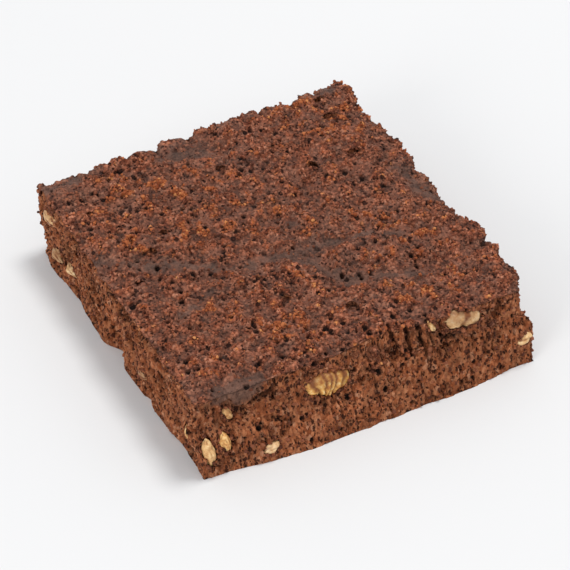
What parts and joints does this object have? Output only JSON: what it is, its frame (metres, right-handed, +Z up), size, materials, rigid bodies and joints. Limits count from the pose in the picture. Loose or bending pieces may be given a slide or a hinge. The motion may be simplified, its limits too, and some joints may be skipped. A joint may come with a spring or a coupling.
{
  "type": "chocolate brownie",
  "caption": "Thick square chocolate brownie with a cracked, crumbly crust, torn cut sides and chopped walnut pieces showing at the cuts.",
  "frame": {"origin": "middle of the bounding box in plan, at the table", "axes": "+Z up from the base to the crust, +Y from the cut front wall to the back, +X along the front wall to the right"},
  "size_m": [0.0842, 0.092, 0.0214],
  "materials": {
    "chocolate_crumb": "dry, matt, open chocolate crumb with a darker, faintly glossy crust",
    "walnut_kernel": "cut walnut kernel, satin with a slight oily sheen"
  },
  "bodies": {
    "root": {"brownie_crumb": "chocolate_crumb", "walnut_front_middle": "walnut_kernel", "walnut_front_right": "walnut_kernel", "walnut_front_sliver": "walnut_kernel", "walnut_corner": "walnut_kernel", "walnut_front_left": "walnut_kernel", "walnut_front_chip": "walnut_kernel", "walnut_front_low": "walnut_kernel", "walnut_right_corner": "walnut_kernel", "walnut_left_high": "walnut_kernel", "walnut_left_low": "walnut_kernel", "walnut_left_back": "walnut_kernel", "walnut_left_middle": "walnut_kernel", "walnut_left_front": "walnut_kernel"}
  },
  "joints": []
}
